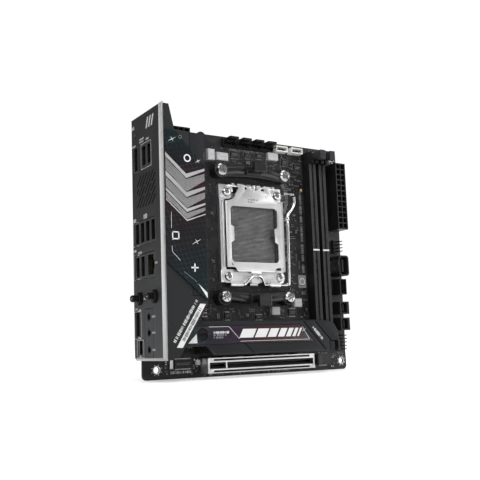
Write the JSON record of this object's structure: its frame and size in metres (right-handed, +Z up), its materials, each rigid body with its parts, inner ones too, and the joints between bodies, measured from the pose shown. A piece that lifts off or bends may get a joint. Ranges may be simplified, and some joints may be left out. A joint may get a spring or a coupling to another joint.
{
  "type": "motherboard",
  "caption": "Square computer board with a hinged-lever processor socket, memory sockets, armoured card slot, drive heatsink and covered rear ports",
  "frame": {"origin": "the bare seat beside the rear lower mounting hole, on the board's back face, 3.3 mm towards the front edge from the hole's axis", "axes": "+X runs from the rear ports to the front edge, +Y is out of the board's back towards the case tray, +Z runs up from the card slot's edge to the memory latches' edge"},
  "size_m": [0.1822, 0.0495, 0.1728],
  "materials": {
    "board": "black solder mask over glass-epoxy laminate, satin",
    "port_shell": "dark plated port shells",
    "bright_steel": "bright nickel-plated pressed steel",
    "screw_steel": "bright plated screw heads",
    "black_steel": "black painted steel",
    "dark_panel": "fine-textured dark grey paint",
    "cover_plastic": "fine-textured dark grey plastic",
    "heatsink": "bead-blasted anodised dark blue-grey",
    "printed_insert": "printed plate, dark teal to dark red with a fine grid",
    "black_plastic": "black moulded glass-filled plastic",
    "socket_plastic": "dark moulded plastic",
    "latch_plastic": "dark grey moulded plastic",
    "pale_plastic": "off-white moulded plastic"
  },
  "bodies": {
    "board": {"circuit_board": "board", "usb_stack_tall": "port_shell", "usb_stack_low": "port_shell", "network_jack": "port_shell", "usb_stack_top": "port_shell", "video_port": "port_shell", "usb_c_port": "bright_steel", "aux_port": "black_plastic", "audio_jack_block": "black_plastic", "antenna_connector_1": "black_steel", "antenna_connector_2": "black_steel", "port_panel": "dark_panel", "shield_frame": "bright_steel", "port_cover": "cover_plastic", "power_heatsink": "heatsink", "cover_insert": "printed_insert", "socket_body": "socket_plastic", "socket_frame": "bright_steel", "load_plate_pin": "bright_steel", "socket_screw_1": "screw_steel", "socket_screw_2": "screw_steel", "socket_screw_3": "screw_steel", "socket_screw_4": "screw_steel", "rear_plate": "black_steel", "cooler_bracket_high": "black_plastic", "cooler_bracket_low": "black_plastic", "cooler_screw_1": "screw_steel", "cooler_screw_2": "screw_steel", "cooler_screw_3": "screw_steel", "cooler_screw_4": "screw_steel", "memory_socket_1": "black_plastic", "memory_socket_2": "black_plastic", "main_power_connector": "black_plastic", "processor_power_connector": "black_plastic", "fan_header_1": "black_plastic", "fan_header_2": "black_plastic", "fan_header_3": "black_plastic", "fan_header_4": "black_plastic", "light_header_1": "pale_plastic", "light_header_2": "pale_plastic", "front_usb_c_header": "black_plastic", "front_usb_header": "black_plastic", "drive_port_1": "black_plastic", "drive_port_2": "black_plastic", "side_pin_header": "black_plastic", "front_panel_header": "black_plastic", "drive_heatsink": "heatsink", "drive_heatsink_insert": "printed_insert", "drive_heatsink_screw": "black_steel", "drive_riser": "black_plastic", "chipset_heatsink": "heatsink", "card_slot": "black_plastic", "slot_armour": "bright_steel"},
    "load_plate": {"load_plate": "bright_steel"},
    "load_lever": {"load_lever": "bright_steel"},
    "memory_latch_1": {"memory_latch_1": "latch_plastic"},
    "memory_latch_2": {"memory_latch_2": "latch_plastic"},
    "slot_latch": {"slot_latch": "black_plastic"},
    "release_catch": {"drive_release_catch": "black_plastic"},
    "update_button": {"update_button": "pale_plastic"}
  },
  "joints": [
    {"name": "load_lever_hinge", "type": "hinge", "parent": "board", "child": "load_lever", "pos_m": [0.07294, -0.006, 0.05635], "axis": [1, 0, 0], "range_deg": [0, 105]},
    {"name": "load_plate_hinge", "type": "hinge", "parent": "board", "child": "load_plate", "pos_m": [0.07294, -0.0066, 0.12665], "axis": [-1, 0, 0], "range_deg": [0, 105]},
    {"name": "memory_latch_1_hinge", "type": "hinge", "parent": "board", "child": "memory_latch_1", "pos_m": [0.12624, -0.005, 0.15425], "axis": [-1, 0, 0], "range_deg": [0, 20]},
    {"name": "memory_latch_2_hinge", "type": "hinge", "parent": "board", "child": "memory_latch_2", "pos_m": [0.13544, -0.005, 0.15425], "axis": [-1, 0, 0], "range_deg": [0, 20]},
    {"name": "slot_latch_hinge", "type": "hinge", "parent": "board", "child": "slot_latch", "pos_m": [0.12254, -0.0051, 0.00135], "axis": [0, 0, 1], "range_deg": [0, 12]},
    {"name": "release_catch_slide", "type": "slide", "parent": "board", "child": "release_catch", "axis": [1, 0, 0], "range_m": [0, 0.0022], "stiffness_N_per_m": 150},
    {"name": "update_button_travel", "type": "slide", "parent": "board", "child": "update_button", "axis": [1, 0, 0], "range_m": [0, 0.0008], "stiffness_N_per_m": 300}
  ]
}
